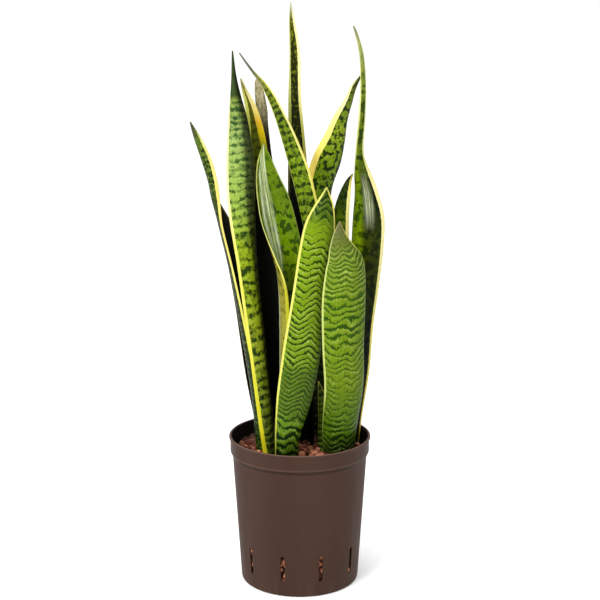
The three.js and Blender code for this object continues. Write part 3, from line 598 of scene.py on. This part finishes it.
def blade(name, leaf, seed):
    """The leaf as a fine closed mesh, with what its material needs stored on the points."""
    stations = np.array(leaf["stations"], float)
    drop = ROOT_DEPTH / (stations[1, 2] - stations[0, 2])
    foot = stations[0] - (stations[1] - stations[0]) * drop
    foot[3:] = stations[0, 3] * FOOT_SHARE, stations[0, 4]
    stations = np.vstack([foot, stations])

    fine = np.linspace(0, 1, PATH_STEPS)
    path, _ = spline(stations[:, :3], fine, True)
    travelled = np.concatenate([[0], np.cumsum(np.linalg.norm(np.diff(path, axis=0), axis=1))])
    length = travelled[-1]
    rings = int(length / RING_PITCH)
    along = np.linspace(0, 1, rings)
    u = np.interp(along, travelled / length, fine)
    centre, slope = spline(stations[:, :3], u, True)
    tangent = slope / np.linalg.norm(slope, axis=1)[:, None]
    traits, _ = spline(stations[:, 3:], u, False)
    width = np.maximum(traits[:, 0], TIP_WIDTH)
    facing = np.radians(traits[:, 1])
    arch = blade_arch(leaf["arch"], along)
    thickness = blade_thickness(along)

    level = np.stack([np.sin(facing), -np.cos(facing), np.zeros(rings)], 1)
    back = level - tangent * (level * tangent).sum(1)[:, None]
    back /= np.linalg.norm(back, axis=1)[:, None]
    side = np.cross(tangent, back)
    radius = width / (2 * arch)

    # Across the blade: the outer face from minus to plus, then home over the inner face.
    even = np.linspace(-1, 1, STRIPS + 1)
    over = 0.35 * np.sin(even * math.pi / 2) + 0.65 * even
    across = np.concatenate([over, over[::-1]])
    outer = np.concatenate([np.ones(STRIPS + 1), -np.ones(STRIPS + 1)])
    count = len(across)
    angle = arch[:, None] * across[None, :]
    lift = radius[:, None] * (np.cos(angle) - (1 + np.cos(arch))[:, None] / 2)
    flat = centre[:, None, :] + side[:, None, :] * (radius[:, None] * np.sin(angle))[..., None]
    flat = flat + back[:, None, :] * lift[..., None]
    normal = (side[:, None, :] * np.sin(angle)[..., None]
              + back[:, None, :] * np.cos(angle)[..., None])
    lens = thickness[:, None] + (EDGE_THICKNESS - thickness)[:, None] * across[None, :] ** 2
    round_off = np.sqrt(np.clip(1 - np.abs(across) ** 14, 0.0, 1))
    half = lens / 2 * (0.3 + 0.7 * round_off)[None, :]
    points = (flat + normal * (half * outer[None, :])[..., None]).reshape(-1, 3)

    faces = []
    for i in range(rings - 1):
        for j in range(count):
            a, b = i * count + j, i * count + (j + 1) % count
            faces.append((a, b, b + count, a + count))
    last = (rings - 1) * count
    faces.append(tuple(reversed(range(count))))
    faces.append(tuple(range(last, last + count)))

    mesh = mesh_of(name, points, faces)

    # What the material needs, on every point.
    rows = np.repeat(np.arange(rings), count)
    cols = np.tile(np.arange(count), rings)
    a, is_outer = across[cols], outer[cols] > 0
    height = centre[:, 2]

    def over_height(key, column=1):
        return ramp(leaf[key], height, column)[rows]

    def by_face(outer_value, inner_value):
        return np.where(is_outer, outer_value.T, inner_value.T).T

    half_width = (width / 2)[rows]
    travel = along * length
    period = ramp(leaf["periods"], height)
    turns = np.concatenate([[0], np.cumsum(np.diff(travel) / period[1:])])
    bend = ramp(leaf["zig"], a) * np.clip(half_width / 20, 0.25, 1)
    mid, dark = (by_face(over_height("outer_body", k), over_height("body", k)) for k in (1, 2))
    # Painted shade across the blade, from side, as far as side_share lets it: it darkens the
    # greens and the light lines.
    shade = 1 + (ramp(leaf["side"], a) - 1) * over_height("side_share")
    streaks_and_sheen = by_face(ramp(leaf["outer_streaks_and_sheen"], a), ramp(leaf["streaks_and_sheen"], a))
    # Strip is where a point is on the blade, and its third number tells the leaves apart.
    layers = dict(
        strip=[a * half_width, travel[rows], np.full(len(a), 37.0 * seed)],
        edges=[(1 + a) * half_width - over_height("minus"),
               (1 - a) * half_width - over_height("plus"), streaks_and_sheen * over_height("sheen")],
        lines=[turns[rows] - bend / period[rows], over_height("lines"),
               over_height("lines", 2) * shade],
        dryness=[over_height("dry"), over_height("dry", 2), np.zeros(len(a))],
        minus=over_height("minus", 2).T,
        plus=over_height("plus", 2).T,
        mid=(mid * shade[:, None]).T,
        dark=(dark * shade[:, None]).T,
    )
    for key, values in layers.items():
        store(mesh, key, np.stack(values, 1))
    return mesh


# ---------- Leaf material ----------

def leaf_material(name, leaf):
    n = Nodes(name)
    strip = n.attribute("strip")
    in_minus, in_plus, streaks_and_sheen = n.parts(n.attribute("edges"))
    turns, share, light = n.parts(n.attribute("lines"))
    dry, dry_tone, _ = n.parts(n.attribute("dryness"))

    slow = n.noise(n.scaled(strip, (0.055, 0.045, 1)), 1)
    jagged = n.noise(n.scaled(strip, (0.33, 0.24, 1)), 3, 0.6)
    patch = n.noise(n.scaled(strip, (0.075, 0.05, 1.3)), 2)
    mottle = n.noise(n.scaled(strip, (0.45, 0.30, 1.7)), 3, 0.65)
    fibres = n.noise(n.scaled(strip, (1.1, 0.018, 1.1)), 3, 0.7)

    # The cross bands: a saw that climbs the blade, shaken by noise. The dark line opens
    # each turn, and the light one closes it, right under the next dark line.
    mean = sum(row[1] for row in leaf["periods"]) / len(leaf["periods"])
    place = n.shaken(slow, 4 * leaf["wobble"] / mean, turns)
    place = n.shaken(jagged, 3 * leaf["jag"] / mean, place)
    saw = n.math("FRACT", place)
    reach = n.shaken(patch, 0.7, share)
    band = n.times(n.step(saw, 0, 0.1), n.step(n.math("SUBTRACT", saw, reach), -0.08, 0.08, 1, 0))
    # Blotches break the bands up.
    amount, size = leaf["blotch"]
    spots = n.noise(n.scaled(strip, (1 / size, 0.8 / size, 2.3)), 2)
    spots = n.step(n.math("MULTIPLY_ADD", share, 0.44, spots), 0.65, 0.79)
    band = n.math("ADD", n.times(band, 1 - amount), n.times(spots, amount))
    band = n.step(band, 0.25, 0.75)
    glint = n.times(n.step(saw, 0.66, 0.8), n.step(saw, 0.9, 1.0, 1, 0))
    glint = n.times(glint, n.step(mottle, 0.35, 0.65))
    glint = n.times(glint, n.step(patch, 0.36, 0.58, 0.15, 1))
    glint = n.times(glint, light)

    mid = n.attribute("mid", "Color")
    duller = n.mix(1.0, mid, (214, 208, 190), "MULTIPLY")
    mid = n.mix(n.step(mottle, 0.3, 0.7), mid, duller)
    green = n.mix(glint, mid, n.mix(0.75, mid, (166, 184, 92)))
    green = n.mix(band, green, n.attribute("dark", "Color"))
    # Pale lengthwise streaks; on leaf_right_tall they are a painted sheen, a painted reflection.
    pale = n.mix(n.step(fibres, 0.35, 0.65), (162, 178, 108), (246, 250, 216))
    green = n.mix(n.times(streaks_and_sheen, n.step(fibres, 0.3, 0.6, 0.55, 1)), green, pale)
    colour = n.mix(1.0, green, n.grey(n.step(fibres, 0.25, 0.75, 0.84, 1.12)), "MULTIPLY")

    # The pale margins, with an uneven inner border.
    for inside, tint in ((in_minus, "minus"), (in_plus, "plus")):
        border = n.shaken(jagged, 1.6, inside)
        tint = n.attribute(tint, "Color")
        warm = n.mix(n.step(fibres, 0.3, 0.7), tint,
                     n.mix(1.0, tint, (248, 240, 214), "MULTIPLY"))
        colour = n.mix(n.step(border, -0.4, 0.4, 1.0, 0.0), colour, warm)
    withered = n.mix(n.step(mottle, 0.3, 0.7), (108, 100, 68), (170, 164, 132))
    withered = n.mix(n.step(fibres, 0.4, 0.65), withered, (74, 68, 40))
    withered = n.mix(1.0, withered, n.grey(dry_tone), "MULTIPLY")
    colour = n.mix(dry, colour, withered)

    n.bump(n.math("ADD", n.times(fibres, 0.7), n.times(mottle, 0.4)), 0.35, 0.0008)
    roughness = n.math("ADD", n.step(mottle, 0.2, 0.8, 0.34, 0.5), n.times(dry, 0.3))
    return n.finish(colour, roughness, 0.06)


# ---------- Pot ----------

def inner_radius(z):
    foot = POT["foot_radius"] - POT["wall"]
    top = POT["shoulder_radius"] - POT["wall"]
    return foot + (top - foot) * (z - POT["floor"]) / (POT["shoulder_bottom"] - POT["floor"])


def pot_profile():
    """Outer skin from the middle of the base up, over the lip, and down the inner wall."""
    p = POT
    rise = p["shoulder_bottom"]

    def wall_out(z):
        return p["foot_radius"] + (p["shoulder_radius"] - p["foot_radius"]) * (z - 3) / (rise - 3)

    collar = p["collar_radius"]
    inner = collar - p["wall"]
    lip, top = p["lip_radius"], p["height"]
    lip_in = lip - p["lip_width"]
    brow = p["collar_bottom"]
    low, high = SLOTS["bottom"], SLOTS["top"]
    outside = [(0, 0), (30, 0), (60, 0), (72.2, 0), (73.6, 0.3), (74.6, 1.1), (75.1, 2.1)]
    outside += [(wall_out(z), z) for z in (3, 10, low, high, 70, 90, 110, 130, 150, 161)]
    outside += [(wall_out(rise) + 0.05, rise), (collar - 0.9, brow - 1.4),
                (collar - 0.2, brow - 0.4), (collar, brow + 0.5), (collar, 184.6),
                (collar + 0.3, 185.8), (lip - 0.5, 186.8), (lip - 0.08, 187.5), (lip, 188.4)]
    rim = [(lip - 0.12, 189.2), (lip - 0.5, 189.8), (lip - 1.1, top), (lip_in + 1.1, top),
           (lip_in + 0.5, 189.8), (lip_in + 0.12, 189.2), (lip_in, 188.2), (inner + 0.1, 186),
           (inner, 184)]
    inside = [(inner, brow + 1), (inner - 0.3, brow - 0.4),
              (inner_radius(rise) + 0.3, rise + 0.8)]
    inside += [(inner_radius(z), z) for z in (161, 140, 120, 100, 80, high, low, 8, 6)]
    inside += [(inner_radius(2) - 1.0, 3), (inner_radius(2) - 2.6, 2), (40, 2), (0, 2)]
    return outside + rim + inside


def pot_mesh():
    profile = pot_profile()
    half = math.degrees(math.asin(SLOTS["width"] / 2 / SLOTS["wall_radius"]))
    angles = []
    for c in SLOT_ANGLES:
        angles += [c - half, c, c + half]
        angles += list(np.linspace(c + half, c + 360 / SLOTS["count"] - half, 14)[1:-1])
    # How far round its slot each point stands; the panels from points 0 and 1 are open.
    place = [j % (len(angles) // SLOTS["count"]) for j in range(len(angles))]
    bm = bmesh.new()
    rows = turned_rows(bm, profile, angles)
    low_out, low_in = (row for row, (_, z) in zip(rows, profile) if z == SLOTS["bottom"])
    high_out, high_in = (row for row, (_, z) in zip(rows, profile) if z == SLOTS["top"])
    for lower, upper in zip(rows, rows[1:]):
        slotted = lower is low_out or lower is high_in
        for j in range(len(angles)):
            if not (slotted and place[j] < 2):
                panel(bm, lower, upper, j)
    # The slots' own floors, ceilings and sides.
    for j in range(len(angles)):
        if place[j] < 2:
            panel(bm, low_out, low_in, j)
            panel(bm, high_in, high_out, j)
    for j in range(len(angles)):
        if place[j] in (0, 2):
            side = [low_out[j], low_in[j], high_in[j], high_out[j]]
            bm.faces.new(side[::-1] if place[j] else side)
    return smooth_mesh(bm, "pot_shell")


def pot_material():
    n = Nodes("pot_plastic")
    spot = n.spot()
    fine = n.noise(spot, 3, 0.6, 900)
    broad = n.noise(n.scaled(spot, (14, 14, 3)), 3, 0.55)
    scuffs = n.noise(n.scaled(spot, (60, 60, 9)), 4, 0.7)
    colour = n.mix(n.step(broad, 0.3, 0.7), (57, 39, 31), (63, 45, 37))
    colour = n.mix(n.step(scuffs, 0.62, 0.8, 0, 0.35), colour, (84, 64, 54))
    x, y, z = n.parts(spot)
    facing_x, facing_y, up = n.parts(n.node("ShaderNodeNewGeometry").outputs["Normal"])
    # Painted highlight on the top of the lip.
    lip_top_highlight = n.times(n.step(z, 0.1855, 0.189), n.step(up, 0.1, 0.9))
    colour = n.mix(n.times(lip_top_highlight, 0.5), colour, (120, 92, 80))
    dust = n.times(n.step(z, 0.0, 0.03, 0.35, 0), n.step(scuffs, 0.4, 0.7))
    colour = n.mix(dust, colour, (84, 66, 54))
    # Painted shade in the crease under the collar, and a painted highlight along the line where
    # the collar ends.
    line = n.times(n.step(z, 0.1685, 0.1695), n.step(z, 0.1705, 0.172, 1, 0))
    crease_shade = n.times(n.step(z, 0.163, 0.1655), n.step(z, 0.1675, 0.1690, 1, 0))
    colour = n.mix(n.times(line, 0.4), colour, (86, 64, 55))
    colour = n.mix(n.times(crease_shade, 0.6), colour, (30, 20, 15))
    # The inner wall is in deep shade.
    outward = n.math("ADD", n.times(x, facing_x), n.times(y, facing_y))
    colour = n.mix(n.step(outward, -0.03, 0.0, 0.85, 0), colour, (9, 6, 5))
    n.bump(n.math("ADD", fine, n.times(broad, 0.6)), 0.12, 0.0006)
    return n.finish(colour, n.step(scuffs, 0.25, 0.75, 0.46, 0.62), 0.06)


# ---------- Granules ----------

def pebble_shapes():
    """A few lumpy round shapes that all the granules are turned and scaled copies of."""
    shapes = []
    for k in range(PEBBLES["shapes"]):
        bm = bmesh.new()
        bmesh.ops.create_icosphere(bm, subdivisions=3, radius=1)
        for v in bm.verts:
            spot = v.co.copy()
            lump = noise.noise(spot * 1.1 + Vector((k * 9.1, 0, 0))) * 0.34
            lump += noise.noise(spot * 2.6 + Vector((0, k * 5.3, 0))) * 0.13
            lump += noise.noise(spot * 6.0 + Vector((0, 0, k * 3.7))) * 0.04
            v.co = spot * (1 + lump)
        points = np.array([v.co for v in bm.verts])
        faces = np.array([[v.index for v in f.verts] for f in bm.faces])
        bm.free()
        shapes.append((points, faces))
    return shapes


def scatter(random):
    """Places and sizes of the granules: the loose top layer, and those behind the slots."""
    spots = []
    golden = math.pi * (3 - math.sqrt(5))
    total = PEBBLES["top"]
    for k in range(total):
        size = random.uniform(*PEBBLES["size"])
        reach = inner_radius(FILL_TOP) - size * 0.95
        r = reach * math.sqrt((k + 0.5) / total)
        t = k * golden + random.uniform(-0.25, 0.25)
        rise = random.uniform(-3.2, 2.6) + 2.0 * (r / reach) ** 6
        spots.append((r * math.cos(t), r * math.sin(t), FILL_TOP + rise, size))
    for angle in SLOT_ANGLES:
        base = math.radians(angle)
        for row in range(PEBBLES["slot_rows"]):
            for shift in (-0.06, 0.03):
                size = random.uniform(*PEBBLES["slot_size"])
                z = 17 + row * 5.8 + random.uniform(-2.4, 2.4)
                t = base + shift + random.uniform(-0.05, 0.05)
                r = inner_radius(z) - size * 0.9 - random.uniform(0.2, 3.0)
                spots.append((r * math.sin(t), -r * math.cos(t), z, size))
    return spots


def granules_mesh():
    random = np.random.default_rng(PEBBLES["seed"])
    shapes = pebble_shapes()
    points, faces, tints = [], [], []
    start = 0
    for x, y, z, size in scatter(random):
        shape, corners = shapes[random.integers(len(shapes))]
        spin = random.uniform(0, 6.28)
        turn = Matrix.Rotation(spin, 3, Vector(random.normal(size=3)).normalized())
        scale = size * np.array([1, random.uniform(0.8, 1), random.uniform(0.72, 0.95)])
        points.append((shape * scale) @ np.array(turn).T + (x, y, z))
        faces.append(corners + start)
        # The ones behind the leaves lie in shade.
        behind = min(max((y - 5) / 30, 0), 1)
        tints.append(np.tile((random.uniform(), random.uniform(), behind), (len(shape), 1)))
        start += len(shape)
    mesh = mesh_of("granules", np.vstack(points), np.vstack(faces).tolist())
    store(mesh, "tint", np.vstack(tints))
    return mesh


def granule_material():
    n = Nodes("fired_clay")
    spot = n.spot()
    shade, warm, behind = n.parts(n.attribute("tint"))
    coarse = n.noise(spot, 4, 0.65, 260)
    fine = n.noise(spot, 3, 0.7, 1500)
    colour = n.mix(n.step(shade, 0.35, 1), (92, 38, 20), (255, 170, 130))
    colour = n.mix(n.times(warm, 0.3), colour, (150, 96, 76))
    colour = n.mix(n.step(coarse, 0.35, 0.6, 0.6, 0), colour, (50, 20, 12))
    # Painted shade: the granules behind the leaves are darkened.
    colour = n.mix(n.times(behind, 0.85), colour, (24, 12, 9))
    n.bump(n.math("ADD", coarse, n.times(fine, 0.5)), 0.6, 0.001)
    return n.finish(colour, n.step(fine, 0.2, 0.8, 0.8, 0.98), 0.2)


def turned_mesh(name, profile, sides):
    bm = bmesh.new()
    rows = turned_rows(bm, profile, [90 + 360 * j / sides for j in range(sides)])
    for lower, upper in zip(rows, rows[1:]):
        for j in range(sides):
            panel(bm, lower, upper, j)
    return smooth_mesh(bm, name)


def packed_bed():
    """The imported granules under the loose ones: a dark, lumpy filling of the pot."""
    low, high = 3.0, FILL_TOP - 3.5
    profile = [(0, low), (inner_radius(low) - BED_GAP, low), (inner_radius(9) - BED_GAP, 9)]
    profile += [(inner_radius(z) - BED_GAP, z) for z in np.linspace(16, high - 2, 40)]
    profile += [(inner_radius(high) - 6.5, high)]
    profile += [(r, high) for r in np.linspace(inner_radius(high) - 9, 4, 30)] + [(0, high)]
    mesh = turned_mesh("packed_bed", profile, 150)
    for v in mesh.vertices:
        spot = v.co / MM
        lump = noise.noise(spot * 0.19) * 1.5 + noise.noise(spot * 0.45) * 0.6
        v.co += v.normal * (lump * MM)
    return mesh


def bed_material():
    n = Nodes("packed_granules")
    spot = n.spot()
    cells = n.node("ShaderNodeTexVoronoi", feature="F1")
    n.put(cells.inputs["Vector"], spot)
    cells.inputs["Scale"].default_value = 150
    lumps = cells.outputs["Distance"]
    fine = n.noise(spot, 3, 0.7, 900)
    colour = n.mix(n.step(lumps, 0.15, 0.6), (70, 40, 28), (14, 7, 5))
    colour = n.mix(n.step(fine, 0.3, 0.7, 0.4, 0), colour, (70, 38, 26))
    n.bump(n.math("SUBTRACT", n.times(fine, 0.3), lumps), 0.8, 0.003)
    return n.finish(colour, n.step(fine, 0.2, 0.8, 0.85, 0.99), 0.15)


def rhizome_material():
    n = Nodes("rhizome_skin")
    spot = n.spot()
    rings = n.noise(n.scaled(spot, (140, 140, 60)), 3, 0.6)
    specks = n.noise(spot, 4, 0.7, 700)
    colour = n.mix(n.step(rings, 0.3, 0.7), (196, 164, 104), (160, 112, 60))
    colour = n.mix(n.step(specks, 0.55, 0.75, 0, 0.6), colour, (110, 74, 40))
    n.bump(rings, 0.4, 0.002)
    return n.finish(colour, n.step(specks, 0.2, 0.8, 0.6, 0.85))


# ---------- Build ----------

def shown(mesh, material, piece_slot, *nodes):
    """Puts a finished mesh in the scene in place of CAD nodes."""
    made = placed(mesh.name, mesh)
    mesh.materials.append(material)
    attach(made, "root")
    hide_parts(*nodes)
    return made


for seed, (node, leaf) in enumerate(LEAVES.items(), 1):
    leaf = {**PLAIN, "outer_body": leaf["body"], **leaf}
    mesh = blade("blade" + node[4:], leaf, seed)
    shown(mesh, leaf_material("skin" + node[4:], leaf), "leaf", node)

pot = shown(pot_mesh(), pot_material(), "pot", "culture_pot")
edge = pot.modifiers.new("soft_edges", "BEVEL")
edge.width = 0.35 * MM
edge.segments = 2
edge.limit_method = "ANGLE"
edge.angle_limit = SHARP

shown(packed_bed(), bed_material(), "granules", "clay_granules")
shown(granules_mesh(), granule_material(), "granules", "clay_granules")

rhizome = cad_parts["rhizome"]
rhizome.data.materials.clear()
rhizome.data.materials.append(rhizome_material())


# ---------- Studio ----------

def floor():
    mesh = turned_mesh("floor", [(r, 0) for r in (0, 400, 2000, 9000, 40000, 200000)], 64)
    n = Nodes("floor_paint")
    spot = n.spot()
    cloud = n.noise(spot, 2, 0.5, 2.0)
    colour = n.mix(cloud, (250, 250, 250), (254, 254, 254))
    n.finish(colour, 0.9)
    n.shader.inputs["Emission Color"].default_value = (1, 1, 1, 1)
    n.shader.inputs["Emission Strength"].default_value = 0.12
    mesh.materials.append(n.material)
    made = placed("floor", mesh)


def area_light(name, place, aim, size, power):
    data = bpy.data.lights.new(name, "AREA")
    data.shape = "DISK"
    data.size = size
    data.energy = power
    made = placed(name, data)
    made.location = place
    made.rotation_euler = (Vector(aim) - Vector(place)).to_track_quat("-Z", "Y").to_euler()


def studio():
    world = bpy.data.worlds.new("studio")
    bpy.context.scene.world = world
    world.use_nodes = True
    sky = world.node_tree.nodes["Background"]
    sky.inputs["Color"].default_value = (1, 1, 1, 1)
    sky.inputs["Strength"].default_value = 1.0
    area_light("key", (-1.5, -2.2, 1.9), (0, 0, 0.35), 1.2, 60)
    area_light("top", (-0.3, -0.2, 2.6), (0, 0, 0.3), 1.2, 16)


def camera():
    data = bpy.data.cameras.new("camera")
    data.lens = CAMERA["lens"]
    data.sensor_width = CAMERA["sensor"]
    data.clip_start = 0.05
    data.clip_end = 100
    tilt = math.radians(CAMERA["elevation"])
    made = placed("camera", data)
    reach = CAMERA["distance"]
    made.location = (CAMERA["aside"], -reach * math.cos(tilt),
                     CAMERA["aim_height"] + reach * math.sin(tilt))
    made.rotation_euler = (math.radians(90) - tilt, 0, 0)
    bpy.context.scene.camera = made


floor()
studio()
camera()
bpy.context.scene.view_settings.view_transform = "Standard"
